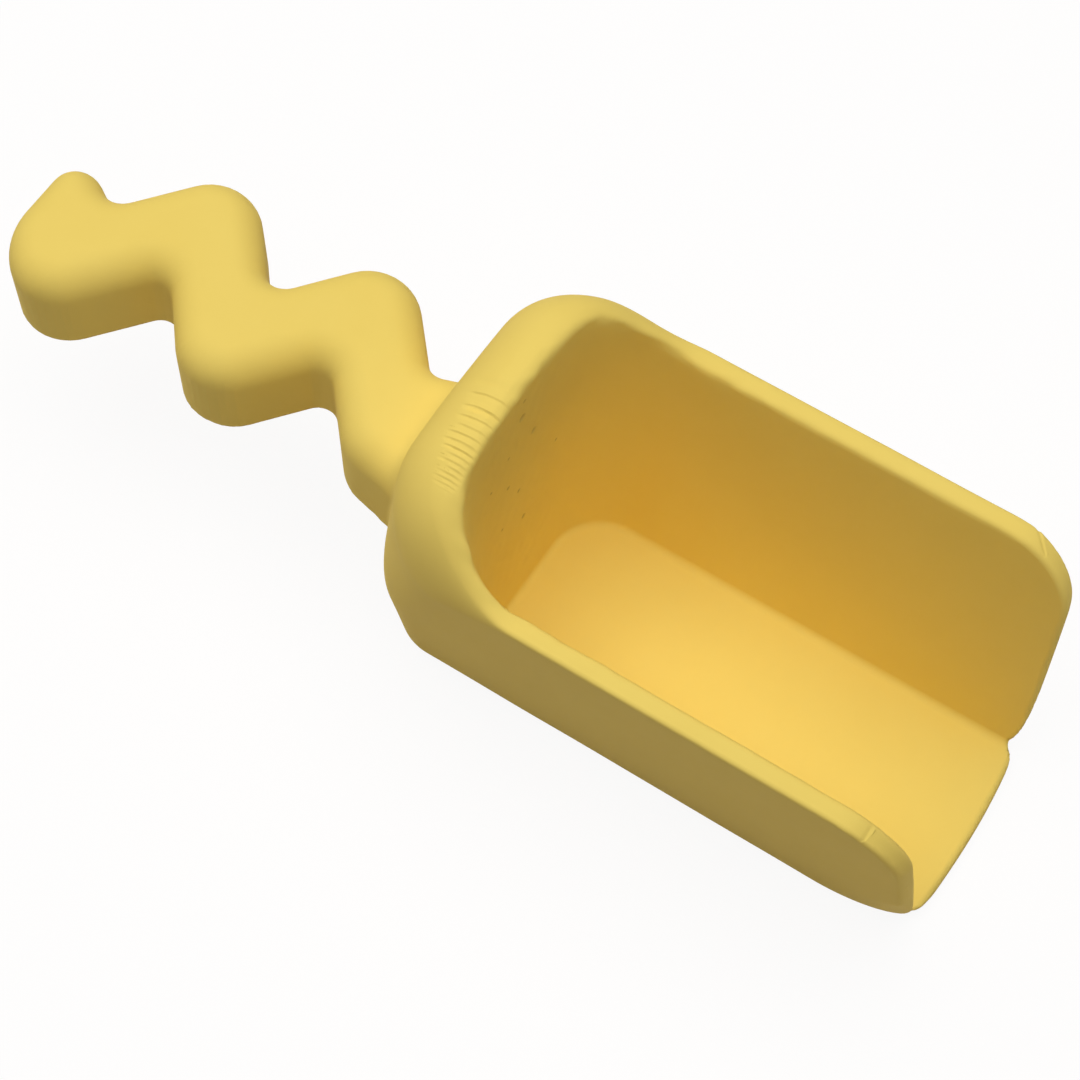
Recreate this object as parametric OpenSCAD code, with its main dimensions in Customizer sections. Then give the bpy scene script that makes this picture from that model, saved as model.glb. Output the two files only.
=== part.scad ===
// Sand shovel: an open scoop with a thick, crowned back wall, and a zigzag grip that is glued and
// dowelled to the back of that wall. Lengths are in millimetres, angles in degrees.
// The origin is on the ground, in the middle of the width, under the inner face of the back wall.
// +X runs out of the open front, +Y to the left of someone digging, +Z up.

/* [Scoop] */
// Length of the floor, from the inner face of the back wall to the front edge
floor_l = 121; // [100:1:145]
// Outer width at the ground
floor_w = 57.8; // [52:0.2:66]
// Outer width across the side rims
rim_w = 84.2; // [78:0.2:98]
// Height of the side rims above the ground
rim_h = 69.5; // [62:0.5:80]
// How far behind the back wall's inner face the crown starts to run down
crown_back = 3; // [0:0.5:12]
// How far in front of that face it has run down into the side rims
crown_front = 23; // [16:0.5:40]
// Height of the back wall's crown above the side rims
crown_h = 22.7; // [16:0.1:28]
// How far the back wall's outer face has come forward at the apex of the crown
crown_lean = 8; // [0:0.5:9]
// Height at which that face starts to come forward
lean_from = 44; // [20:1:56]
// Thickness of the side walls
side_t = 5.4; // [4.2:0.1:7]
// Thickness of the floor
floor_t = 4.4; // [3:0.1:7]
// Thickness of the back wall
back_t = 21.5; // [20:0.5:26]

/* [Scoop corners] */
// Plan radius of the outer back corners at the ground
floor_corner_r = 13; // [10:0.5:20]
// Plan radius of the outer back corners at the rims
rim_corner_r = 26.5; // [18:0.5:28]
// Height at which they start to grow rounder
corner_from = 30; // [0:1:50]
// Plan radius of the inner back corners at the floor
floor_inner_r = 13.3; // [8:0.1:17]
// Plan radius of the inner back corners at the rims
rim_inner_r = 20.2; // [14:0.1:26]
// Radius of the edge under the side walls
base_edge_r = 6.8; // [3:0.1:8]
// Radius of the edge under the back wall
back_base_r = 8; // [5:0.5:9]
// Radius of the outer edge of the side rims
rim_edge_r = 1.5; // [0.5:0.1:2]
// How far in the rounding of the crown's outer edge reaches
crown_edge_r = 11.5; // [3:0.5:13]
// Height of that rounding
crown_edge_h = 14; // [4:0.5:18]
// Radius of the inner edge of the rims and the crown
inner_edge_r = 1.6; // [0.5:0.1:2]
// Radius between the floor and the walls
floor_fillet_r = 1.5; // [0.5:0.1:4]

/* [Scoop front] */
// Radius of the top front corners, seen from the side
front_top_r = 18; // [8:0.5:24]
// How far the front edge bows out in the middle, over the width of the floor
front_bow = 1.9; // [0:0.1:5]
// How far the front edge of the side walls leans back at the rims
front_lean = 1.7; // [0:0.1:5]
// Length of the front corners' oval at the ground
front_corner_l = 30; // [8:0.5:36]
// Width of that oval
front_corner_w = 9; // [4:0.5:16]
// Plan radius of the front edges of the side walls, above those corners
front_edge_r = 1.2; // [0.5:0.1:3]
// Height at which the corners have closed up to that radius
front_corner_h = 30; // [20:1:50]

/* [Handle] */
// Height of the handle's top above the ground
handle_top = 67.5; // [60:0.5:72]
// Thickness of the handle
handle_t = 23.5; // [20:0.5:30]
// Width of the zigzag band
band_w = 22; // [19:0.1:24]
// Length along the handle from one bend to the next
bend_pitch = 22.1; // [20:0.1:28]
// Sideways reach of the band's middle line at each bend
bend_reach = 13.5; // [11:0.1:16]
// Distance of the first bend from the back wall
root_l = 11.1; // [10:0.1:16]
// Length along the handle from that first bend to the next
root_pitch = 17.7; // [15:0.1:20]
// Sideways reach of the band's middle line at that first bend
root_reach = 7; // [5:0.1:9]
// Angle at which the +Y side of the band meets the back wall
root_angle = 19.5; // [12:0.5:30]
// Distance from the middle at which the -Y side of the band meets the back wall
root_foot = 24; // [21:0.5:26]
// Angle at which that side meets it
root_foot_angle = 12; // [4:0.5:24]
// Distance of the flat end behind the last bend
end_l = 16.2; // [14:0.1:20]
// Sideways place of the corner at the tip of the flat end
end_nose = 14; // [11:0.1:15]
// Sideways place of the corner at the heel of the flat end
end_heel = 16.7; // [13:0.1:18]

/* [Handle edges] */
// Radius round the outside of each bend
bend_outer_r = 12.5; // [9:0.1:13.5]
// Radius in the hollow of each bend
bend_inner_r = 4.7; // [1:0.1:5]
// Radius of the corner at the tip of the flat end
nose_r = 6.7; // [3:0.1:7.5]
// Radius of the corner at the heel of the flat end
heel_r = 18; // [8:0.5:20]
// Radius of the handle's top edge
handle_top_r = 7.9; // [3:0.1:8.5]
// Radius of the handle's bottom edge
handle_base_r = 1.5; // [1:0.1:6]
// Radius round the outside of the bend nearest the wall
root_outer_r = 13.9; // [8:0.1:15]
// Radius of the fillet on the +Y side of the handle's root
root_fillet_r = 5; // [2:0.1:5.5]
// Thickness of the lip in which that fillet ends
root_lip = 0.6; // [0.3:0.1:1.5]
// How far that lip reaches past the band
root_flare = 4.2; // [3.9:0.1:7]
// How deep the band is drawn into the back wall before the wall cuts it off
root_depth = 6; // [4:0.5:9]

/* [Dowels] */
// Diameter of a dowel
dowel_d = 5; // [4:0.5:6]
// Length of a dowel
dowel_l = 22; // [16:1:26]
// Distance between the two dowels
dowel_pitch = 10; // [8:0.5:11]
// Bevel at both ends of a dowel
dowel_bevel = 0.8; // [0.3:0.1:1.5]
// Glue gap between a dowel and its bore, on the radius
dowel_gap = 0.05; // [0.02:0.01:0.2]
// Glue gap between each end of a dowel and the bottom of its bore
dowel_end_gap = 0.5; // [0.2:0.1:1]

/* [Hidden] */
body_colour = "#E8CC60";
dowel_colour = "#DDC98E";
// Facets of a quarter round, of a bend and of a full circle
edge_steps = 4;
arc_steps = 7;
circle_steps = 48;
// Stations of the scoop: along a side, round a back corner and across half of the back wall
side_steps = 4;
corner_steps = 8;
back_steps = 5;
// Levels up each face of a wall, and points across its top
level_steps = 5;
top_steps = 3;
// Exponent of the crown's curve: 2 is an ellipse
crown_power = 1.8;
// Largest share of a wall's thickness, or of a front corner's width, that the edge beside it rounds off
edge_share = 0.6;
// Bends of the handle's middle line
bend_count = 5;
// Overrun of a cut past the face it starts from
over = 1;

half_floor = floor_w / 2;
half_rim = rim_w / 2;
seat_x = -back_t;
handle_base = handle_top - handle_t;

function mix(a, b, k) = a + (b - a) * k;
function clamp(k) = max(0, min(1, k));
function ease(k) = k * k * (3 - 2 * k);
function unit(v) = v / norm(v);
function left_of(v) = [-v.y, v.x];
function quad(a, b, c, d) = [[a, b, c], [a, c, d]];

// Drop of a rounded edge of radius r, at distance d inside the edge
function round_drop(d, r) = d >= r ? 0 : r - sqrt(max(0, r * r - (r - d) * (r - d)));

// Plan of the walls at height z
function rise(z) = clamp(z / rim_h);
function outer_half(z) = mix(half_floor, half_rim, rise(z));
function outer_r(z) =
    mix(floor_corner_r, rim_corner_r, ease(clamp((z - corner_from) / (rim_h - corner_from))));
function inner_half(z) = outer_half(z) - side_t;
function inner_r(z) = mix(floor_inner_r, rim_inner_r, rise(z));
function back_x(z) = seat_x + crown_lean * pow(clamp((z - lean_from) / (rim_h + crown_h - lean_from)), 2);

// Top of the walls over a point in plan: the side rims, the crown and the rounded top front corners
function crown(y) = crown_h * pow(max(0, 1 - pow(abs(y) / half_rim, crown_power)), 1 / crown_power);
function crown_left(x) = 1 - ease(clamp((x + crown_back) / (crown_back + crown_front)));
function wall_top(p) = rim_h + crown(p.y) * crown_left(p.x) - round_drop(floor_l - p.x, front_top_r);

// Stations of one half of the scoop: 0 is the front edge, side_last the start of the back corner,
// corner_last the start of the back wall, and half_last its middle
side_last = edge_steps + side_steps;
corner_last = side_last + corner_steps;
half_last = corner_last + back_steps;

function side_x(s, z) =
    s <= edge_steps
        ? floor_l - front_top_r * (1 - cos(90 * s / edge_steps))
        : mix(floor_l - front_top_r, inner_r(z), (s - edge_steps) / side_steps);

// Outer outline at station s and height z, drawn in by e
function outer_side(s, z, e) = [side_x(s, z), outer_half(z) - e];
function outer_corner(u, z, e) =
    let (
        r = outer_r(z),
        turn = back_x(z) + r,
        run = inner_r(z) - turn,
        gone = u * (run + r * PI / 2),
        a = (gone - run) / r * 180 / PI
    )
    gone < run
        ? [inner_r(z) - gone, outer_half(z) - e]
        : [turn - (r - e) * sin(a), outer_half(z) - r + (r - e) * cos(a)];
function outer_back(v, z, e) = [back_x(z) + e, (outer_half(z) - outer_r(z)) * (1 - v)];
function outer_at(s, z, e) =
    s <= side_last ? outer_side(s, z, e)
    : s <= corner_last ? outer_corner((s - side_last) / corner_steps, z, e)
    : outer_back((s - corner_last) / back_steps, z, e);

// Inner outline at station s and height z, moved out into the wall by e
function inner_corner(u, z, e) =
    let (r = inner_r(z)) [r - (r + e) * sin(90 * u), inner_half(z) - r + (r + e) * cos(90 * u)];
function inner_at(s, z, e) =
    s <= side_last ? [side_x(s, z), inner_half(z) + e]
    : s <= corner_last ? inner_corner((s - side_last) / corner_steps, z, e)
    : [-e, (inner_half(z) - inner_r(z)) * (1 - (s - corner_last) / back_steps)];

// Share of the back's base radius that a station has: none on the sides, all across the back
function back_share(s) = ease(clamp((s - side_last) / corner_steps));

// Reach of the rounding of a station's outer top edge, which leaves part of a thin wall's top flat
function top_edge(s) =
    let (p = outer_at(s, rim_h, 0))
    min(mix(rim_edge_r, crown_edge_r, crown_left(p.x)), edge_share * norm(p - inner_at(s, rim_h, 0)));

// Bow and lean of the front edge, spread along the whole scoop
function bowed(p) =
    let (pull = front_bow * pow(p.y / half_floor, 2) + front_lean * pow(p.z / rim_h, 2))
    [p.x - max(0, p.x) / floor_l * pull, p.y, p.z];
function raised(p, z) = [p.x, p.y, z];

// Closed profile of a station: from the middle of the underside, round the wall, to that of the floor
function profile(s) =
    let (
        base_r = mix(base_edge_r, back_base_r, back_share(s)),
        rim_r = top_edge(s),
        rim_e = rim_r * mix(1, crown_edge_h / crown_edge_r, crown_left(outer_at(s, rim_h, 0).x)),
        quarter = [for (k = [0 : edge_steps]) 90 * k / edge_steps],
        spine = min(s, side_last),
        out_h = wall_top(outer_at(s, rim_h, 0)),
        in_h = wall_top(inner_at(s, rim_h, 0)),
        low = outer_at(s, out_h, rim_r),
        high = inner_at(s, in_h, inner_edge_r)
    )
    [
        [side_x(spine, 0), 0, 0],
        for (a = quarter)
            let (z = base_r * (1 - cos(a))) raised(outer_at(s, z, base_r * (1 - sin(a))), z),
        for (k = [1 : level_steps])
            let (z = mix(base_r, out_h - rim_e, k / (level_steps + 1))) raised(outer_at(s, z, 0), z),
        for (a = quarter)
            let (drop = rim_e * (1 - sin(a)), p = outer_at(s, out_h - drop, rim_r * (1 - cos(a))))
            raised(p, wall_top(p) - drop),
        for (k = [1 : top_steps])
            let (p = mix(low, high, k / (top_steps + 1))) raised(p, wall_top(p)),
        for (k = [edge_steps : -1 : 0])
            let (a = quarter[k], p = inner_at(s, in_h, inner_edge_r * (1 - cos(a))))
            raised(p, wall_top(p) - inner_edge_r * (1 - sin(a))),
        for (k = [level_steps : -1 : 1])
            let (z = mix(floor_t + floor_fillet_r, in_h - inner_edge_r, k / (level_steps + 1)))
            raised(inner_at(s, z, 0), z),
        for (k = [edge_steps : -1 : 0])
            let (a = quarter[k], z = floor_t + floor_fillet_r * (1 - cos(a)))
            raised(inner_at(s, z, -floor_fillet_r * (1 - sin(a))), z),
        [side_x(spine, floor_t), 0, floor_t]
    ];

// The two halves of the scoop mirror each other and share the points on the middle line
half_profiles = [for (s = [0 : half_last]) [for (p = profile(s)) bowed(p)]];
ring = len(half_profiles[0]);
station_last = 2 * half_last;
function half_station(i) = i <= half_last ? i : station_last - i;
scoop_points = [
    for (i = [0 : station_last])
        for (p = half_profiles[half_station(i)])
            [p.x, i <= half_last ? p.y : -p.y, p.z]
];
function point_index(i, j) =
    j > 0 && j < ring - 1 ? i * ring + j : min(half_station(i), side_last) * ring + j;
function is_face(f) = f[0] != f[1] && f[1] != f[2] && f[2] != f[0];
function scoop_skin(i, j) =
    quad(point_index(i, j), point_index(i, j + 1), point_index(i + 1, j + 1), point_index(i + 1, j));
function turned(f) = [f[0], f[2], f[1]];

// The front edge joins each point of the outer face to its opposite on the inner face
function front_skin(i, j) =
    let (
        faces = quad(
            point_index(i, j),
            point_index(i, j + 1),
            point_index(i, ring - 2 - j),
            point_index(i, ring - 1 - j)
        )
    )
    i == 0 ? [for (f = faces) turned(f)] : faces;
scoop_faces = [
    for (i = [0 : station_last - 1])
        for (j = [0 : ring - 2])
            for (f = scoop_skin(i, j)) if (is_face(f)) f,
    for (i = [0, station_last])
        for (j = [0 : ceil(ring / 2) - 2])
            for (f = front_skin(i, j)) if (is_face(f)) f
];

// Faces round a stack of layers, each an anticlockwise ring of n points
function skin_faces(n, layers) = [
    for (i = [0 : layers - 2])
        for (j = [0 : n - 1])
            let (
                k = (j + 1) % n,
                a = i * n,
                b = a + n
            )
            each quad(a + j, b + j, b + k, a + k)
];

// What is cut off a front corner at height z: all outside an oval arc that is drawn in by e at the side
function corner_ring(z, e) =
    let (
        r = mix(front_corner_w, front_edge_r, clamp(z / front_corner_h)),
        l = mix(front_corner_l, front_edge_r, clamp(z / front_corner_h)),
        y = outer_half(z) - r,
        x = floor_l - front_bow * pow(y / half_floor, 2) - front_lean * pow(z / rim_h, 2)
    )
    [
        [x + over, y + r + over, z],
        [x - l, y + r + over, z],
        for (k = [arc_steps : -1 : 0])
            let (a = 90 * k / arc_steps, reach = r - min(e, edge_share * r) * sin(a))
            [x - l + l * reach / r * cos(a), y + reach * sin(a), z],
        [x + over, y, z]
    ];
corner_rings = [
    corner_ring(-over, base_edge_r),
    for (k = [0 : edge_steps])
        let (a = 90 * k / edge_steps) corner_ring(base_edge_r * (1 - cos(a)), base_edge_r * (1 - sin(a))),
    corner_ring(front_corner_h, 0),
    corner_ring(rim_h, 0)
];
corner_n = len(corner_rings[0]);
corner_top = (len(corner_rings) - 1) * corner_n;
corner_faces = [
    for (k = [1 : corner_n - 2]) [0, k, k + 1],
    for (k = [1 : corner_n - 2]) [corner_top, corner_top + k + 1, corner_top + k],
    each skin_faces(corner_n, len(corner_rings))
];

// Middle line of the zigzag band: bend 0 is the one nearest the wall, even bends lie on the -Y side
last_bend = bend_count - 1;
function bend(k) =
    k < 0 ? bend(0) + band_w * [cos(root_angle), sin(root_angle)]
    : k == 0 ? [seat_x - root_l, -root_reach]
    : [seat_x - root_l - root_pitch - (k - 1) * bend_pitch, (k % 2 == 0 ? -1 : 1) * bend_reach];

// Point at a bend where the band's edge turns, w to the -Y side of the middle line
function edge_turn(k, w) =
    let (
        n = left_of(unit(bend(k) - bend(k - 1))),
        m = n + left_of(unit(bend(k + 1) - bend(k)))
    )
    bend(k) + m * w / (m * n);

// Where the line through p along a meets the line through q along b
function meet(p, a, q, b) = let (d = q - p) p + a * (d.x * b.y - d.y * b.x) / (a.x * b.y - a.y * b.x);

// The band runs on into the back wall, which cuts it off along its own outer face
root_x = seat_x + root_depth;
root_slant = [cos(root_foot_angle), -sin(root_foot_angle)];
foot = meet([seat_x, -root_foot], root_slant, [root_x, 0], [0, 1]);
root_left = meet(edge_turn(0, -band_w / 2), bend(-1) - bend(0), [seat_x - root_lip, 0], [0, 1]);
root_right = meet(edge_turn(1, band_w / 2), bend(0) - bend(1), foot, root_slant);
lip_y = root_left.y + root_flare;

// Corners of the handle's outline with their radii, anticlockwise from the +Y end inside the wall
end_x = bend(last_bend).x - end_l;
outline_corners = [
    [root_x, lip_y],
    [seat_x - root_lip, lip_y],
    root_left,
    for (k = [0 : last_bend]) edge_turn(k, -band_w / 2),
    [end_x, end_nose],
    [end_x, -end_heel],
    for (k = [last_bend : -1 : 1]) edge_turn(k, band_w / 2),
    root_right,
    foot
];
outline_radii = [
    0,
    0,
    root_fillet_r,
    for (k = [0 : last_bend]) k % 2 == 0 ? bend_inner_r : bend_outer_r,
    nose_r,
    heel_r,
    for (k = [last_bend : -1 : 1]) k % 2 == 0 ? bend_outer_r : bend_inner_r,
    root_outer_r,
    0
];
last_corner = len(outline_corners) - 1;
function corner(i) = outline_corners[(i + last_corner + 1) % (last_corner + 1)];

// The lip's face and the end inside the wall stay where they are when the outline is drawn in
function edge_draw(i, e) = i == 1 || i == last_corner ? 0 : e;

// Corner i of the outline when every edge is drawn in by e
function drawn_corner(i, e) =
    let (
        a = unit(corner(i) - corner(i - 1)),
        b = unit(corner(i + 1) - corner(i)),
        p = corner(i) + left_of(a) * edge_draw(i == 0 ? last_corner : i - 1, e),
        q = corner(i) + left_of(b) * edge_draw(i, e)
    )
    meet(p, a, q, b);

// The fillet at the root is the one corner that keeps its radius
function is_fillet(i) = i == 2;

// Rounded outline, drawn in by e: an outer corner loses e from its radius and a hollow gains it
function rounded_corner(i, e) =
    let (
        p = drawn_corner(i, e),
        a = unit(corner(i) - corner(i - 1)),
        b = unit(corner(i + 1) - corner(i)),
        side = a.x * b.y - a.y * b.x > 0 ? 1 : -1,
        sweep = acos(a * b),
        r = max(outline_radii[i] - (is_fillet(i) ? 0 : side * e), root_lip),
        start = p - a * r * tan(sweep / 2),
        middle = start + left_of(a) * side * r
    )
    outline_radii[i] == 0
        ? [p]
        : [
            for (k = [0 : arc_steps])
                let (t = sweep * k / arc_steps)
                middle + r * (a * sin(t) - left_of(a) * side * cos(t))
        ];
function outline(e) = [for (i = [0 : last_corner]) for (p = rounded_corner(i, e)) p];

// Layers of the handle as [height, inset], from the bottom edge round to the top edge
handle_layers = [
    for (k = [0 : edge_steps])
        let (a = 90 * k / edge_steps)
        [handle_base + handle_base_r * (1 - cos(a)), handle_base_r * (1 - sin(a))],
    for (k = [0 : edge_steps])
        let (a = 90 * k / edge_steps)
        [handle_top - handle_top_r * (1 - sin(a)), handle_top_r * (1 - cos(a))]
];
handle_rings = [for (l = handle_layers) [for (p = outline(l[1])) [p.x, p.y, l[0]]]];
outline_n = len(handle_rings[0]);
layer_n = len(handle_layers);

// The flat top and bottom: a fan from the foot to the fillet, then a strip between the band's sides
function flat_faces(first) =
    let (
        neck = first + arc_steps + 3,
        end = first + outline_n - 1
    )
    [
        for (j = [first : neck - 2]) [j, j + 1, end],
        each quad(neck - 1, neck, end - 1, end),
        for (j = [0 : (end - neck) / 2 - 2])
            each quad(neck + j, neck + j + 1, end - 2 - j, end - 1 - j)
    ];
handle_faces = [
    each flat_faces(0),
    for (f = flat_faces((layer_n - 1) * outline_n)) turned(f),
    each skin_faces(outline_n, layer_n)
];

// The dowels lie along X, side by side across the root, half in each piece
dowel_z = handle_base + handle_t / 2;
dowel_y = (root_left.y - root_foot) / 2;
bore_r = dowel_d / 2 + dowel_gap;
bore_l = dowel_l / 2 + dowel_end_gap;

module along_x(x, y) {
    translate([x, y, dowel_z]) rotate([0, 90, 0]) children();
}

module bores(x, length) {
    for (side = [-1, 1])
        along_x(x, dowel_y + side * dowel_pitch / 2) cylinder(r = bore_r, h = length, $fn = circle_steps);
}

module dowel(side) {
    color(dowel_colour)
        along_x(seat_x - dowel_l / 2, dowel_y + side * dowel_pitch / 2)
            rotate_extrude($fn = circle_steps)
                polygon([
                    [0, 0],
                    [dowel_d / 2 - dowel_bevel, 0],
                    [dowel_d / 2, dowel_bevel],
                    [dowel_d / 2, dowel_l - dowel_bevel],
                    [dowel_d / 2 - dowel_bevel, dowel_l],
                    [0, dowel_l]
                ]);
}

module walls() {
    difference() {
        polyhedron(points = scoop_points, faces = scoop_faces);
        for (side = [0, 1])
            mirror([0, side, 0])
                polyhedron(points = [for (r = corner_rings) each r], faces = corner_faces);
    }
}

module scoop() {
    color(body_colour)
        difference() {
            walls();
            bores(seat_x - over, bore_l + over);
        }
}

module handle() {
    color(body_colour)
        difference() {
            polyhedron(points = [for (r = handle_rings) each r], faces = handle_faces);
            walls();
            bores(seat_x - bore_l, bore_l + root_depth);
        }
}

module dowel_left() {
    dowel(1);
}

module dowel_right() {
    dowel(-1);
}

scoop();
handle();
dowel_left();
dowel_right();
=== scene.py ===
import math

import bmesh
import bpy
import numpy as np
from mathutils import Matrix, Vector


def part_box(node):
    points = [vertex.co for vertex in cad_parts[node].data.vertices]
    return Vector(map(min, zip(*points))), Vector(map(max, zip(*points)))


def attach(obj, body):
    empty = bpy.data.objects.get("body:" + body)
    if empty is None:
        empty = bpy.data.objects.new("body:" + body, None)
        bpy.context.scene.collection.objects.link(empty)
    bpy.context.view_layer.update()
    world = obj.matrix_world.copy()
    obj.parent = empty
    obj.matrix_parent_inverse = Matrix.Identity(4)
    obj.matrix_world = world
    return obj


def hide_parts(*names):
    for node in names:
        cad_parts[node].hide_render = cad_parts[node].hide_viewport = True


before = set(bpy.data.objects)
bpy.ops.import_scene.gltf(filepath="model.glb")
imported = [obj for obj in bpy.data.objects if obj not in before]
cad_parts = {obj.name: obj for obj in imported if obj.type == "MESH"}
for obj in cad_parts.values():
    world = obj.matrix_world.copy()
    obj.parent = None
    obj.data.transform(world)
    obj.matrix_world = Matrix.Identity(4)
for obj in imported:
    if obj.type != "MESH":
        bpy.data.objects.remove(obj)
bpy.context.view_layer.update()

# The shape functions work in millimetres, in the CAD's frame; meshes, lights and the camera are in metres.
MM = 0.001

# Scoop
FLOOR_L = 121.0
FLOOR_W = 57.8
RIM_W = 84.2
RIM_H = 69.5
SIDE_T = 5.4
FLOOR_T = 4.4
BACK_T = 21.5
CROWN_H = 22.7
CROWN_BACK = 3.0
CROWN_FRONT = 23.0
CROWN_POWER = 1.8
LEAN_FROM = 44.0
LEAN = 8.0
INNER_LEAN = 0.8
CROWN_EASE = 0.8

# Shares of the rims' height up to which the flare, the front's lean and the inner corners go on growing
FLARE_TO = 1.3
FRONT_LEAN_TO = 1.2
INNER_CORNER_TO = 1.1

# Rounded corners and edges of the scoop
FLOOR_CORNER_R = 13.0
RIM_CORNER_R = 26.5
CORNER_FROM = 30.0
FLOOR_INNER_R = 13.3
RIM_INNER_R = 20.2
BASE_EDGE_R = 6.8
CROWN_EDGE_R = 11.5
RIM_EDGE_R = 1.5
INNER_EDGE_R = 1.6
FLOOR_FILLET_R = 1.5
FRONT_TOP_R = 18.0
FRONT_EDGE_R = 1.2
FRONT_BOW = 1.9
FRONT_LEAN = 1.7
FRONT_CORNER_L = 30.0
FRONT_CORNER_W = 9.0
FRONT_CORNER_H = 30.0

# Handle: a band that zigzags between its bends, bend 0 being the one nearest the wall
HANDLE_TOP = 67.5
HANDLE_T = 23.5
BAND_W = 22.0
BEND_PITCH = 22.1
BEND_REACH = 13.5
ROOT_L = 11.1
ROOT_PITCH = 17.7
ROOT_REACH = 7.0
ROOT_ANGLE = math.radians(19.5)
FOOT_Y = -24.0
FOOT_ANGLE = math.radians(12)
END_L = 16.2
END_NOSE = 14.0
END_HEEL = 16.7
BEND_OUTER_R = 12.5
ROOT_OUTER_R = 13.9
BEND_INNER_R = 4.7
NOSE_R = 6.7
HEEL_R = 18.0
HANDLE_TOP_R = 7.9
HANDLE_BASE_R = 1.5
LAST_BEND = 4

# The outline runs on past bend 0 and ends inside the back wall; the fillet there grows towards the top edge
ROOT_RUN = 30.0
ROOT_TIP_X = -8.0
ROOT_BLEND = (1.2, 4.0)

# Dowels and the joint that they hold
DOWEL_BORE_R = 2.55
DOWEL_BORE_L = 11.5
SEAM_OFFSET = 0.15

# Mesh: box and cell of the first mesh, and finer cuts where there is fine detail
MESH_BOX = ((-135, -45, -2), (125, 45, 94))
CELL = 0.8
FINE_CUTS = 3

# Settling on the surface: rounds, longest move in a round, least slope to divide by, and step of a gradient
SETTLE_ROUNDS = 4
LONGEST_MOVE = 0.5
LEAST_SLOPE = 0.3
PROBE = 0.04

# Camera, from the photograph: its direction seen from the target, its distance and its lens
CAMERA_AZIMUTH = 0.5525
CAMERA_ELEVATION = 1.0733
CAMERA_ROLL = 0.0204
CAMERA_DISTANCE = 605.5
CAMERA_TARGET = Vector((4.58, -1.22, 30.0))
SENSOR_W = 36.0
LENS = 87.8


def mix(a, b, k):
    return a + (b - a) * k


def ease(k):
    k = np.clip(k, 0, 1)
    return k * k * (3 - 2 * k)


def round_max(a, b, r):
    """Where both fields are solid, with the edge between them rounded to radius r."""
    u, v = np.maximum(a + r, 0), np.maximum(b + r, 0)
    return np.minimum(np.maximum(a, b), -r) + np.sqrt(u * u + v * v)


def smooth_min(a, b, reach):
    """Where either field is solid, with a fillet that starts at that reach."""
    k = np.clip(0.5 + 0.5 * (b - a) / reach, 0, 1)
    return mix(b, a, k) - reach * k * (1 - k)


# ---- scoop -----------------------------------------------------------------


def plan_field(x, y, back, half, radius):
    """Distance to a plan that is open towards +X and has round back corners."""
    u, v = back + radius - x, np.abs(y) - half + radius
    outside = np.hypot(np.maximum(u, 0), np.maximum(v, 0))
    return outside + np.minimum(np.maximum(u, v), 0) - radius


def outer_half(z):
    return mix(FLOOR_W / 2, RIM_W / 2, np.clip(z / RIM_H, 0, FLARE_TO))


def back_x(z):
    rise = np.clip((z - LEAN_FROM) / (RIM_H + CROWN_H - LEAN_FROM), 0, 1)
    return LEAN * rise**2 - BACK_T


def crown(y):
    share = np.clip(np.abs(y) / (RIM_W / 2), 0, 1)
    return RIM_H + CROWN_H * (1 - share**CROWN_POWER) ** (1 / CROWN_POWER)


def crown_share(x):
    return 1 - ease((x + CROWN_BACK) / (CROWN_BACK + CROWN_FRONT))


def wall_top(x, y):
    return mix(RIM_H, crown(y), crown_share(x))


def front_x(y, z):
    """The front edge bows out in the middle and leans back at the rims."""
    rise = np.clip(z / RIM_H, 0, FRONT_LEAN_TO)
    return FLOOR_L - FRONT_BOW * (y / (FLOOR_W / 2)) ** 2 - FRONT_LEAN * rise**2


def front_draw(x, z):
    """How far the front corners are drawn in: oval in plan, and most at the ground."""
    rise = np.clip(z / FRONT_CORNER_H, 0, 1)
    wide, long = mix(FRONT_CORNER_W, FRONT_EDGE_R, rise), mix(FRONT_CORNER_L, FRONT_EDGE_R, rise)
    run = np.clip((x - front_x(outer_half(z) - wide, z) + long) / long, 0, 1)
    return wide * (1 - np.sqrt(1 - run**2))


def side_slope():
    """Cosine of the side walls' slope, which turns a distance across into one square to the wall."""
    return RIM_H / math.hypot(RIM_H, (RIM_W - FLOOR_W) / 2)


def outer_field(x, y, z):
    radius = mix(FLOOR_CORNER_R, RIM_CORNER_R, ease((z - CORNER_FROM) / (RIM_H - CORNER_FROM)))
    top = wall_top(x, y)
    body = plan_field(x, y, back_x(z), outer_half(z) - front_draw(x, z), radius) * side_slope()
    body = round_max(body, -z, BASE_EDGE_R)
    body = round_max(body, (z - top) * CROWN_EASE, mix(RIM_EDGE_R, CROWN_EDGE_R, crown_share(x)))
    front = round_max(x - front_x(y, z), z - top, FRONT_TOP_R)
    return round_max(front, body, FRONT_EDGE_R)


def inner_field(x, y, z):
    rise = np.clip(z / RIM_H, 0, INNER_CORNER_TO)
    back = INNER_LEAN * np.clip(1 - z / RIM_H, 0, 1)
    radius = mix(FLOOR_INNER_R, RIM_INNER_R, rise)
    hollow = plan_field(x, y, back, outer_half(z) - SIDE_T, radius) * side_slope()
    return round_max(hollow, FLOOR_T - z, FLOOR_FILLET_R)


def scoop_field(x, y, z):
    return round_max(outer_field(x, y, z), -inner_field(x, y, z), INNER_EDGE_R)


# ---- handle ----------------------------------------------------------------


def unit(v):
    return v / np.linalg.norm(v)


def left_of(v):
    return np.array([-v[1], v[0]])


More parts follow.
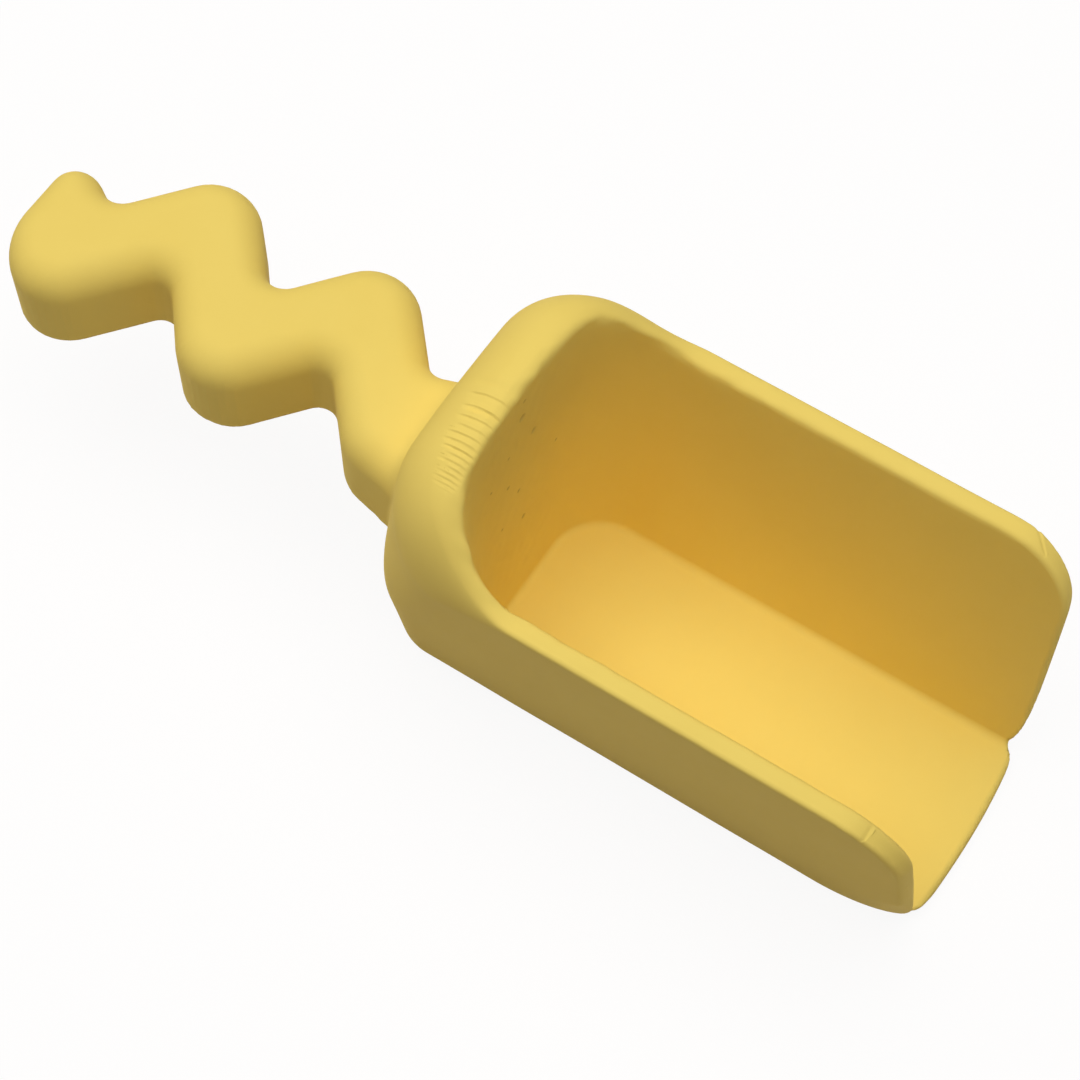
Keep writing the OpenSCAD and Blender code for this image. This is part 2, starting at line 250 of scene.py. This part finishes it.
def bend(k):
    """Middle line of the band: even bends lie on the -Y side."""
    if k < 0:
        return bend(0) + ROOT_RUN * np.array([math.cos(ROOT_ANGLE), math.sin(ROOT_ANGLE)])
    if k == 0:
        return np.array([-BACK_T - ROOT_L, -ROOT_REACH])
    side = -1 if k % 2 == 0 else 1
    return np.array([-BACK_T - ROOT_L - ROOT_PITCH - (k - 1) * BEND_PITCH, side * BEND_REACH])


def edge_turn(k, w):
    """Point at a bend where the band's edge turns, w to the -Y side of the middle line."""
    n = left_of(unit(bend(k) - bend(k - 1)))
    m = n + left_of(unit(bend(k + 1) - bend(k)))
    return bend(k) + m * w / (m @ n)


def meet(p, u, q, v):
    """Where the line through p along u meets the line through q along v."""
    s = np.linalg.solve(np.array([u, -v]).T, q - p)
    return p + u * s[0]


def handle_outline():
    """The band's outline in plan, with arcs at its corners, as one closed loop of points."""
    half = BAND_W / 2
    foot = np.array([-BACK_T, FOOT_Y])
    slant = np.array([math.cos(FOOT_ANGLE), -math.sin(FOOT_ANGLE)])
    along = unit(bend(0) - bend(1))
    root = meet(edge_turn(1, half), along, foot, slant)
    into_wall = bend(0) - bend(-1)
    end_x = bend(LAST_BEND)[0] - END_L
    tip = np.array([ROOT_TIP_X, 0.0])
    corners = [(foot + slant * ROOT_L, 0), (tip, 0), (edge_turn(0, -half) - into_wall, 0)]
    for k in range(LAST_BEND + 1):
        corners.append((edge_turn(k, -half), BEND_INNER_R if k % 2 == 0 else BEND_OUTER_R))
    corners.append((np.array([end_x, END_NOSE]), NOSE_R))
    corners.append((np.array([end_x, -END_HEEL]), HEEL_R))
    for k in range(LAST_BEND, 0, -1):
        corners.append((edge_turn(k, half), BEND_OUTER_R if k % 2 == 0 else BEND_INNER_R))
    corners.append((root, ROOT_OUTER_R))
    return with_arcs(corners)


def with_arcs(corners, steps=10):
    points = []
    for i, (p, r) in enumerate(corners):
        a, b = unit(corners[i - 1][0] - p), unit(corners[(i + 1) % len(corners)][0] - p)
        if r == 0:
            points.append(p)
            continue
        half_angle = math.acos(np.clip(a @ b, -1, 1)) / 2
        middle = p + unit(a + b) * r / math.sin(half_angle)
        first = p + a * r / math.tan(half_angle) - middle
        last = p + b * r / math.tan(half_angle) - middle
        start = math.atan2(first[1], first[0])
        sweep = (math.atan2(last[1], last[0]) - start + math.pi) % (2 * math.pi) - math.pi
        for k in range(steps + 1):
            t = start + sweep * k / steps
            points.append(middle + r * np.array([math.cos(t), math.sin(t)]))
    return np.array(points)


# Steps of the outline that are shorter than this are none
SAME_POINT = 1e-6


def outline_distance(x, y, loop):
    """Distance to a closed loop of points, negative inside it."""
    start, step = loop, np.roll(loop, -1, 0) - loop
    keep = np.hypot(*step.T) > SAME_POINT
    start, step = start[keep], step[keep]
    u, v = x[..., None] - start[:, 0], y[..., None] - start[:, 1]
    t = np.clip((u * step[:, 0] + v * step[:, 1]) / (step**2).sum(1), 0, 1)
    nearest = np.sqrt(((u - step[:, 0] * t) ** 2 + (v - step[:, 1] * t) ** 2).min(-1))
    above, below = v >= 0, v < step[:, 1]
    left = step[:, 0] * v > step[:, 1] * u
    crossings = ((above & below & left) | (~above & ~below & ~left)).sum(-1)
    return np.where(crossings % 2 == 1, -nearest, nearest)


OUTLINE = handle_outline()


def handle_field(x, y, z):
    band = outline_distance(x, y, OUTLINE)
    body = round_max(band, z - HANDLE_TOP, HANDLE_TOP_R)
    return round_max(body, HANDLE_TOP - HANDLE_T - z, HANDLE_BASE_R)


def shovel_field(x, y, z):
    blend = mix(*ROOT_BLEND, ease((z - HANDLE_TOP + HANDLE_TOP_R) / HANDLE_TOP_R))
    return smooth_min(scoop_field(x, y, z), handle_field(x, y, z), blend)


# ---- fine detail: how far the surface is pressed in, in millimetres ------------


def waves(x, y, z, length, seed, count=6):
    """Smooth irregular field between -1 and 1, with about that wavelength."""
    draw = np.random.default_rng(seed)
    total = 0
    for _ in range(count):
        d = unit(draw.normal(size=3)) * 2 * math.pi / length
        total = total + np.sin(d[0] * x + d[1] * y + d[2] * z + draw.uniform(0, 2 * math.pi))
    return total / count


# Layer steps: height, slope of their edges, places, and how unevenly they start and show
STEP_H = 0.48
STEP_SHARE = 0.42
STEP_RAMP = 0.5
STEP_LEAST_SHARE = 0.05
STEP_PHASE = 0.26
STEP_DEPTH = 1.5
STEP_X = (-13.0, 0.0)
STEP_Y = (-28.0, -1.5)
STEP_SEED = 5
STEP_JITTER = 3.0
STEP_CLOSING = 0.9
STEP_FADE_X = 3.5
STEP_FADE_Y = 2.5
STEP_DRAWS = 256
STEP_WEAKEST = 0.45
STEP_SHALLOWEST = 0.8


def window(v, low, high, fade):
    return ease((v - low) / fade) * ease((high - v) / fade)


def crown_steps(x, y, z):
    """Layer steps that show across the crown, on its -Y half."""
    number = crown(y) / STEP_H + STEP_PHASE
    share = number % 1
    slope = np.abs(crown(y + PROBE) - crown(y - PROBE)) / (2 * PROBE)
    ramp = np.clip(slope * STEP_RAMP / STEP_H, STEP_LEAST_SHARE, STEP_SHARE)
    rise = np.clip((share - 0.5) / ramp + 0.5, 0, 1)
    draw = np.random.default_rng(STEP_SEED).uniform(0, 1, (3, STEP_DRAWS))
    start, strength, shallow = draw[:, np.asarray(number, int) % STEP_DRAWS]
    begin = STEP_X[0] + STEP_JITTER * start + STEP_CLOSING * (crown(0) - crown(y))
    here = ease((x - begin) / STEP_FADE_X) * ease((STEP_X[1] - x) / INNER_EDGE_R)
    here = here * window(y, *STEP_Y, STEP_FADE_Y) * (z > RIM_H)
    depth = STEP_H * STEP_DEPTH * mix(STEP_WEAKEST, 1.0, strength) * mix(STEP_SHALLOWEST, 1.0, shallow)
    return depth * (share - ease(rise) + 0.5) * here


# Open pores in the inner face of the back wall: across, up and radius
PITS = (
    (-1.4, 80.1, 1.1), (3.1, 68.8, 0.9), (-0.7, 86.0, 0.6), (12.1, 52.2, 0.5), (-6.9, 70.6, 0.5),
    (-7.3, 58.6, 0.6), (-3.2, 51.6, 0.6), (-1.4, 37.5, 0.8), (-14.0, 66.0, 0.45), (-10.1, 44.0, 0.45),
)
PIT_DEPTH_SHARE = 0.5
PIT_SHADE = 0.55
PIT_COLOUR = (0.30, 0.17, 0.03, 1)

# Part of the scoop round that face, across its thickness and above the floor, with how each end fades
PITTED_X = (-3.0, 3.5)
PITTED_FADE_X = 1.5
PITTED_FADE_H = 6.0

# Unevenness of that face: depth, length, number of waves and part of the width
MOTTLE = 0.15
MOTTLE_L = 4.0
MOTTLE_WAVES = 16
MOTTLED_Y = (-30.0, 14.0)
MOTTLED_FADE_Y = 8.0


def pits(x, y, z):
    """Pores and slight unevenness of the inner face of the back wall."""
    lumps = waves(x, y, z, MOTTLE_L, seed=21, count=MOTTLE_WAVES)
    depth = MOTTLE * (1 + lumps) * window(y, *MOTTLED_Y, MOTTLED_FADE_Y)
    for py, pz, r in PITS:
        gap = ((y - py) ** 2 + (z - pz) ** 2) / r**2
        depth = np.maximum(depth, PIT_DEPTH_SHARE * r * np.exp(-gap))
    clear_of_floor = ease((z - FLOOR_T - PITTED_FADE_H) / PITTED_FADE_H)
    return depth * window(x, *PITTED_X, PITTED_FADE_X) * clear_of_floor


# Waves along the rims' inner edge: depth, lengths, reach and mean, then where they start and how they calm
RIM_WAVE = 0.5
RIM_WAVE_L = (7.5, 4.2)
RIM_WAVE_REACH = 1.6
RIM_WAVE_MEAN = 0.6
RIM_WAVE_FROM = -5.0
RIM_WAVE_FADE = 8.0
RIM_CALM = 0.8
RIM_CALM_FROM = 18.0
RIM_CALM_FADE = 40.0

# Slow waves all over
SKIN_WAVE = 0.07
SKIN_WAVE_L = 26.0


def rim_waves(x, y, z):
    """The hand-trimmed look of the rims' inner edge."""
    near = np.exp(-((z - wall_top(x, y)) ** 2 + inner_field(x, y, z) ** 2) / (2 * RIM_WAVE_REACH**2))
    lumps = sum(waves(x, y, z, length, seed=3) for length in RIM_WAVE_L)
    start = ease((x - RIM_WAVE_FROM) / RIM_WAVE_FADE)
    calm = RIM_CALM * ease((x - RIM_CALM_FROM) / RIM_CALM_FADE)
    return RIM_WAVE * near * (RIM_WAVE_MEAN + lumps) * start * (1 - calm)


# Nicks across the rims: places, width, depth, height of the lip and its place in widths
NICK_NEAR_X = 107.0
NICK_FAR_X = 103.0
NICK_W = 0.5
NICK_DEPTH = 0.17
NICK_LIP = 0.06
NICK_LIP_AT = 2.0

# How far down they reach, and from what distance off the middle
NICK_DOWN = 3.0
NICK_FROM_Y = 36.0
NICK_FADE_Y = 2.0


def nicks(x, y, z):
    """A small nick across each rim, with a raised lip in front of it; the far one runs aslant."""
    run = x - np.where(y < 0, NICK_NEAR_X, NICK_FAR_X + RIM_W / 2 - y)
    groove = NICK_DEPTH * np.exp(-((run / NICK_W) ** 2))
    lip = NICK_LIP * np.exp(-((run / NICK_W - NICK_LIP_AT) ** 2))
    return (groove - lip) * (z > RIM_H - NICK_DOWN) * ease((np.abs(y) - NICK_FROM_Y) / NICK_FADE_Y)


# Middle of the chip, its radius and its depth
CHIP = (118.6, 31.6, 16.5)
CHIP_R = 1.3
CHIP_DEPTH = 0.5


def chip(x, y, z):
    """A small chip in the far front edge."""
    gap = sum((a - b) ** 2 for a, b in zip((x, y, z), CHIP))
    return CHIP_DEPTH * np.exp(-gap / CHIP_R**2)


# Bumps under the handle: height, length, reach, and the places that have them
BURR = 0.4
BURR_L = 5.5
BURR_REACH = 2.2
BURR_Y = -11.0
BURR_X = ((-77.0, -66.0), (-33.0, -19.0))
BURR_MEAN = 0.5
BURR_FADE_Y = 5.0
BURR_FADE_X = 3.0


def burrs(x, y, z):
    """Uneven lower edge of the handle, at the root and at one bend on the -Y side."""
    near = np.exp(-(((z - HANDLE_TOP + HANDLE_T) / BURR_REACH) ** 2)) * ease((BURR_Y - y) / BURR_FADE_Y)
    near = near * sum(window(x, *span, BURR_FADE_X) for span in BURR_X)
    return BURR * near * (BURR_MEAN + waves(x, y, 0 * z, BURR_L, seed=14)) * (x < -BACK_T)


def skin(x, y, z):
    """Slow waves, which only press in, so the shape stays within the CAD's box."""
    return SKIN_WAVE * (1 + waves(x, y, z, SKIN_WAVE_L, seed=8))


def scoop_surface(x, y, z):
    return (scoop_field(x, y, z) + crown_steps(x, y, z) + pits(x, y, z) + rim_waves(x, y, z)
            + nicks(x, y, z) + chip(x, y, z) + skin(x, y, z))


def rear_surface(x, y, z):
    return (shovel_field(x, y, z) + crown_steps(x, y, z) + rim_waves(x, y, z) + burrs(x, y, z)
            + skin(x, y, z))


# The handle reaches no further forward than this
REAR_X = -10.0


def surface(p):
    """The detailed surface at points p; the handle is left out where it can't reach."""
    value = np.empty(len(p))
    rear = p[:, 0] < REAR_X
    value[rear] = rear_surface(*p[rear].T)
    value[~rear] = scoop_surface(*p[~rear].T)
    return value


# ---- mesh --------------------------------------------------------------------


def surface_net(field, low, high, cell):
    """Points and quads on a field's zero level, with one point in each grid cell that it crosses."""
    axes = [np.arange(a, b + cell, cell) for a, b in zip(low, high)]
    grid = field(axes[0][:, None, None], axes[1][None, :, None], axes[2][None, None, :])
    shape = np.array(grid.shape)
    keys, crossings, flips = [], [], []
    for axis in range(3):
        near = np.moveaxis(grid, axis, 0)[:-1]
        far = np.moveaxis(grid, axis, 0)[1:]
        where = np.argwhere((near < 0) != (far < 0))
        a, b = near[tuple(where.T)], far[tuple(where.T)]
        index = np.insert(where[:, 1:], axis, where[:, 0], axis=1)
        point = index.astype(float)
        point[:, axis] += a / (a - b)
        u, v = (axis + 1) % 3, (axis + 2) % 3
        corners = []
        for du, dv in ((0, 0), (1, 0), (1, 1), (0, 1)):
            owner = index.copy()
            owner[:, u] -= du
            owner[:, v] -= dv
            corners.append(np.ravel_multi_index(owner.T, shape))
        keys.append(np.stack(corners, 1))
        crossings.append(point)
        flips.append(a > 0)
    keys, crossings, flips = np.concatenate(keys), np.concatenate(crossings), np.concatenate(flips)
    cells, quads = np.unique(keys, return_inverse=True)
    quads = quads.reshape(-1, 4)
    count = np.bincount(quads.ravel(), minlength=len(cells))
    points = [
        np.bincount(quads.ravel(), np.repeat(crossings[:, i], 4), len(cells)) / count for i in range(3)
    ]
    quads[flips] = quads[flips][:, ::-1]
    return np.array(low) + cell * np.stack(points, 1), quads


def gradient(p):
    return np.stack([surface(p + step) - surface(p - step) for step in np.eye(3) * PROBE], 1) / (2 * PROBE)


def settle(p):
    """Moves points onto the detailed surface."""
    for _ in range(SETTLE_ROUNDS):
        g = gradient(p)
        move = surface(p) / np.maximum((g * g).sum(1), LEAST_SLOPE)
        p = p - g * np.clip(move, -LONGEST_MOVE, LONGEST_MOVE)[:, None]
    return p


# How far round the fine detail the mesh is finer: over the rims, off the pitted face, along and under the
# nicks, and in radii of a pit or the chip
STEPPED_H = 5.0
PITTED_DEPTH = 2.0
NICKED_X = (NICK_FAR_X - 2.0, NICK_NEAR_X + 4.0)
NICKED_H = 4.0
DETAIL_RADII = 3.0


def needs_detail(c):
    """Faces on the stepped part of the crown, round the pits and the chip, and where the nicks are."""
    x, y, z = c / MM
    on_steps = STEP_X[0] < x < STEP_X[1] and STEP_Y[0] < y < STEP_Y[1] and z > RIM_H + STEPPED_H
    on_pits = abs(x) < PITTED_DEPTH and any(
        math.hypot(y - py, z - pz) < DETAIL_RADII * r for py, pz, r in PITS
    )
    on_nicks = NICKED_X[0] < x < NICKED_X[1] and z > RIM_H - NICKED_H
    on_chip = math.dist((x, y, z), CHIP) < DETAIL_RADII * CHIP_R
    return on_steps or on_pits or on_nicks or on_chip


def shovel_mesh():
    """The whole shovel as one closed bmesh in metres, finer where it has fine detail."""
    points, quads = surface_net(shovel_field, *MESH_BOX, CELL)
    mesh = bpy.data.meshes.new("net")
    mesh.from_pydata((points * MM).tolist(), [], quads.tolist())
    bm = bmesh.new()
    bm.from_mesh(mesh)
    bpy.data.meshes.remove(mesh)
    # A dict keeps the edges in the faces' order, where a set would mix them anew in each run
    fine = dict.fromkeys(e for f in bm.faces if needs_detail(f.calc_center_median()) for e in f.edges)
    bmesh.ops.subdivide_edges(bm, edges=list(fine), cuts=FINE_CUTS, use_grid_fill=True)
    settled = settle(np.array([v.co for v in bm.verts]) / MM)
    for v, p in zip(bm.verts, settled):
        v.co = Vector(p * MM)
    return bm


def dowel_axes():
    """Middle of each dowel at the seat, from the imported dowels, in metres."""
    middles = [sum(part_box(node), Vector()) / 2 for node in ("dowel_left", "dowel_right")]
    return [(m.y, m.z) for m in middles]


def circle_edges(bm, x, y, z, r, steps=32):
    ring = [
        bm.verts.new((x, y + r * math.cos(t), z + r * math.sin(t)))
        for t in np.arange(steps) * 2 * math.pi / steps
    ]
    return [bm.edges.new((ring[i - 1], ring[i])) for i in range(steps)]


def cut_at_seat(bm, keep_handle):
    """Keeps the handle or the scoop, closes it at the seat and sinks the dowel bores into it."""
    seat = -(BACK_T + SEAM_OFFSET) * MM
    bmesh.ops.bisect_plane(
        bm,
        geom=bm.verts[:] + bm.edges[:] + bm.faces[:],
        plane_co=(seat, 0, 0),
        plane_no=(1, 0, 0),
        clear_outer=keep_handle,
        clear_inner=not keep_handle,
    )
    rim = [e for e in bm.edges if e.is_boundary]
    bores = [circle_edges(bm, seat, y, z, DOWEL_BORE_R * MM) for y, z in dowel_axes()]
    bmesh.ops.triangle_fill(bm, use_beauty=True, edges=rim + sum(bores, []), normal=(1, 0, 0))
    depth = DOWEL_BORE_L * MM * (-1 if keep_handle else 1)
    for bore in bores:
        made = bmesh.ops.extrude_edge_only(bm, edges=bore)["geom"]
        ends = [g for g in made if isinstance(g, bmesh.types.BMVert)]
        bmesh.ops.translate(bm, vec=(depth, 0, 0), verts=ends)
        bmesh.ops.contextual_create(bm, geom=[g for g in made if isinstance(g, bmesh.types.BMEdge)
                                              and all(v in set(ends) for v in g.verts)])
    bmesh.ops.recalc_face_normals(bm, faces=bm.faces[:])


def piece(name, bm):
    """An object from a bmesh, shaded with the surface's own normals."""
    mesh = bpy.data.meshes.new(name)
    bm.to_mesh(mesh)
    bm.free()
    co = np.empty(len(mesh.vertices) * 3)
    mesh.vertices.foreach_get("co", co)
    g = gradient(co.reshape(-1, 3) / MM)
    mesh.shade_smooth()
    mesh.normals_split_custom_set_from_vertices((g / np.linalg.norm(g, axis=1)[:, None]).tolist())
    obj = bpy.data.objects.new(name, mesh)
    bpy.context.scene.collection.objects.link(obj)
    return obj


# ---- materials ---------------------------------------------------------------

ROUGHNESS_SPREAD = 0.07
SPECULAR = 0.12
COARSE_BUMP = 0.0001
FINE_BUMP = 0.00004

# Sockets of a colour Mix node: its factor, its two colours and its result
MIX_FACTOR, MIX_FIRST, MIX_SECOND, MIX_RESULT = 0, 6, 7, 2

# Share of a pit's radius that is fully dark, and share at which the dark has faded out
PORE_DARK = 0.3
PORE_CLEAR = 1.3


def node(tree, kind, **inputs):
    made = tree.nodes.new(kind)
    for key, value in inputs.items():
        made.inputs[key.replace("_", " ")].default_value = value
    return made


def pore_shade(tree, place):
    """A socket with the share of shade at a point: full in the middle of each pore, none outside."""
    shade = None
    for y, z, r in PITS:
        gap = tree.nodes.new("ShaderNodeVectorMath")
        gap.operation = "DISTANCE"
        gap.inputs[1].default_value = (0, y * MM, z * MM)
        tree.links.new(place, gap.inputs[0])
        spot = node(
            tree,
            "ShaderNodeMapRange",
            From_Min=PORE_DARK * r * MM,
            From_Max=PORE_CLEAR * r * MM,
            To_Min=PIT_SHADE,
            To_Max=0.0,
        )
        tree.links.new(gap.outputs["Value"], spot.inputs["Value"])
        if shade is None:
            shade = spot.outputs["Result"]
            continue
        most = tree.nodes.new("ShaderNodeMath")
        most.operation = "MAXIMUM"
        tree.links.new(shade, most.inputs[0])
        tree.links.new(spot.outputs["Result"], most.inputs[1])
        shade = most.outputs["Value"]
    return shade


def matte_plastic(name, pale, deep, roughness, pored=False):
    """Matte, slightly mottled plastic with a fine grain, darker in the pores where it has them."""
    material = bpy.data.materials.new(name)
    material.use_nodes = True
    tree = material.node_tree
    shader = tree.nodes["Principled BSDF"]
    place = tree.nodes.new("ShaderNodeTexCoord").outputs["Object"]
    # Scale is in lumps a metre: about 22 mm for the mottle, 2.4 mm for the dust and 0.7 mm for the grain
    mottle = node(tree, "ShaderNodeTexNoise", Scale=45.0, Detail=5.0, Roughness=0.6)
    grain = node(tree, "ShaderNodeTexNoise", Scale=1400.0, Detail=3.0, Roughness=0.55)
    dust = node(tree, "ShaderNodeTexNoise", Scale=420.0, Detail=4.0, Roughness=0.65)
    for texture in (mottle, grain, dust):
        tree.links.new(place, texture.inputs["Vector"])
    tint = tree.nodes.new("ShaderNodeMix")
    tint.data_type = "RGBA"
    tint.inputs[MIX_FIRST].default_value = (*deep, 1)
    tint.inputs[MIX_SECOND].default_value = (*pale, 1)
    tree.links.new(mottle.outputs["Fac"], tint.inputs[MIX_FACTOR])
    colour = tint.outputs[MIX_RESULT]
    if pored:
        dim = tree.nodes.new("ShaderNodeMix")
        dim.data_type = "RGBA"
        dim.inputs[MIX_SECOND].default_value = PIT_COLOUR
        tree.links.new(pore_shade(tree, place), dim.inputs[MIX_FACTOR])
        tree.links.new(colour, dim.inputs[MIX_FIRST])
        colour = dim.outputs[MIX_RESULT]
    tree.links.new(colour, shader.inputs["Base Color"])
    rough = node(tree, "ShaderNodeMapRange")
    rough.inputs["To Min"].default_value = roughness - ROUGHNESS_SPREAD
    rough.inputs["To Max"].default_value = roughness + ROUGHNESS_SPREAD
    tree.links.new(dust.outputs["Fac"], rough.inputs["Value"])
    tree.links.new(rough.outputs["Result"], shader.inputs["Roughness"])
    coarse = node(tree, "ShaderNodeBump", Strength=0.25, Distance=COARSE_BUMP)
    fine = node(tree, "ShaderNodeBump", Strength=0.3, Distance=FINE_BUMP)
    tree.links.new(dust.outputs["Fac"], coarse.inputs["Height"])
    tree.links.new(grain.outputs["Fac"], fine.inputs["Height"])
    tree.links.new(coarse.outputs["Normal"], fine.inputs["Normal"])
    tree.links.new(fine.outputs["Normal"], shader.inputs["Normal"])
    shader.inputs["Specular IOR Level"].default_value = SPECULAR
    return material


# ---- stage -------------------------------------------------------------------

# The floor: size, colour, brightness of the white that the camera sees, and share of it over the shadow
FLOOR_SIZE = 6.0
FLOOR_COLOUR = (0.6, 0.545, 0.51, 1)
FLOOR_GLOW = 1.08
FLOOR_WHITE = 0.85
AMBIENT = 0.05
WHITE = (1, 1, 1, 1)


def shown_directly(tree):
    """A socket that is 1 where the camera sees a point itself or in gloss or glass, and 0 for other light."""
    path = tree.nodes.new("ShaderNodeLightPath")
    seen = path.outputs["Is Camera Ray"]
    for kind in ("Is Glossy Ray", "Is Transmission Ray"):
        either = tree.nodes.new("ShaderNodeMath")
        either.operation = "MAXIMUM"
        tree.links.new(seen, either.inputs[0])
        tree.links.new(path.outputs[kind], either.inputs[1])
        seen = either.outputs[0]
    return seen


def plain_floor():
    bpy.ops.mesh.primitive_plane_add(size=FLOOR_SIZE)
    floor = bpy.context.object
    floor.name = "floor"
    material = bpy.data.materials.new("floor_white")
    material.use_nodes = True
    tree = material.node_tree
    tree.nodes.clear()
    diffuse = node(tree, "ShaderNodeBsdfDiffuse", Color=FLOOR_COLOUR)
    glow = node(tree, "ShaderNodeEmission", Color=WHITE, Strength=FLOOR_GLOW)
    share = tree.nodes.new("ShaderNodeMath")
    share.operation = "MULTIPLY"
    share.inputs[1].default_value = FLOOR_WHITE
    blend = tree.nodes.new("ShaderNodeMixShader")
    out = tree.nodes.new("ShaderNodeOutputMaterial")
    tree.links.new(shown_directly(tree), share.inputs[0])
    tree.links.new(share.outputs[0], blend.inputs[0])
    tree.links.new(diffuse.outputs[0], blend.inputs[1])
    tree.links.new(glow.outputs[0], blend.inputs[2])
    tree.links.new(blend.outputs[0], out.inputs["Surface"])
    floor.data.materials.append(material)


def white_world():
    world = bpy.data.worlds.new("studio")
    bpy.context.scene.world = world
    world.use_nodes = True
    tree = world.node_tree
    light = tree.nodes["Background"]
    light.inputs["Color"].default_value = WHITE
    light.inputs["Strength"].default_value = AMBIENT
    white = node(tree, "ShaderNodeBackground", Color=WHITE, Strength=1.0)
    blend = tree.nodes.new("ShaderNodeMixShader")
    tree.links.new(shown_directly(tree), blend.inputs[0])
    tree.links.new(light.outputs[0], blend.inputs[1])
    tree.links.new(white.outputs[0], blend.inputs[2])
    tree.links.new(blend.outputs[0], tree.nodes["World Output"].inputs["Surface"])


def soft_light(name, direction, distance, size, power):
    """A round lamp in that direction from the origin, aimed back at it."""
    data = bpy.data.lights.new(name, "AREA")
    data.shape = "DISK"
    data.size = size
    data.energy = power
    lamp = bpy.data.objects.new(name, data)
    towards = Vector(direction).normalized()
    lamp.location = towards * distance
    lamp.rotation_mode = "QUATERNION"
    lamp.rotation_quaternion = (-towards).to_track_quat("-Z", "Y")
    bpy.context.scene.collection.objects.link(lamp)


def photo_camera():
    back = Vector((
        math.cos(CAMERA_ELEVATION) * math.sin(CAMERA_AZIMUTH),
        -math.cos(CAMERA_ELEVATION) * math.cos(CAMERA_AZIMUTH),
        math.sin(CAMERA_ELEVATION),
    ))
    level = Vector((math.cos(CAMERA_AZIMUTH), math.sin(CAMERA_AZIMUTH), 0))
    upright = back.cross(level)
    right = math.cos(CAMERA_ROLL) * level + math.sin(CAMERA_ROLL) * upright
    up = back.cross(right)
    camera = bpy.data.objects.new("camera", bpy.data.cameras.new("camera"))
    camera.matrix_world = Matrix.Translation((CAMERA_TARGET + back * CAMERA_DISTANCE) * MM) @ Matrix(
        (right, up, back)
    ).transposed().to_4x4()
    camera.data.sensor_width = SENSOR_W
    camera.data.lens = LENS
    bpy.context.scene.collection.objects.link(camera)
    bpy.context.scene.camera = camera


# ---- scene -------------------------------------------------------------------

photo_camera()
plain_floor()
white_world()
soft_light("key", (-0.02, 0.04, 1.0), distance=1.2, size=1.4, power=13.4)
soft_light("side", (-1.0, -0.1, 0.6), distance=1.4, size=0.8, power=2.8)
soft_light("front", (1.0, -0.15, 0.4), distance=1.4, size=0.8, power=0.9)
bpy.context.scene.view_settings.view_transform = "Standard"

yellow = matte_plastic(
    "matte_yellow", pale=(0.94, 0.71, 0.168), deep=(0.90, 0.665, 0.142), roughness=0.7, pored=True
)
cream = matte_plastic("matte_pale", pale=(0.78, 0.64, 0.36), deep=(0.70, 0.56, 0.30), roughness=0.55)

whole = shovel_mesh()
for name, node_name, keep_handle in (("scoop_body", "scoop", False), ("grip", "handle", True)):
    part = whole.copy()
    cut_at_seat(part, keep_handle)
    made = piece(name, part)
    made.data.materials.append(yellow)
    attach(made, "root")
    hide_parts(node_name)
whole.free()

for node_name in ("dowel_left", "dowel_right"):
    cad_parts[node_name].material_slots[0].material = cream
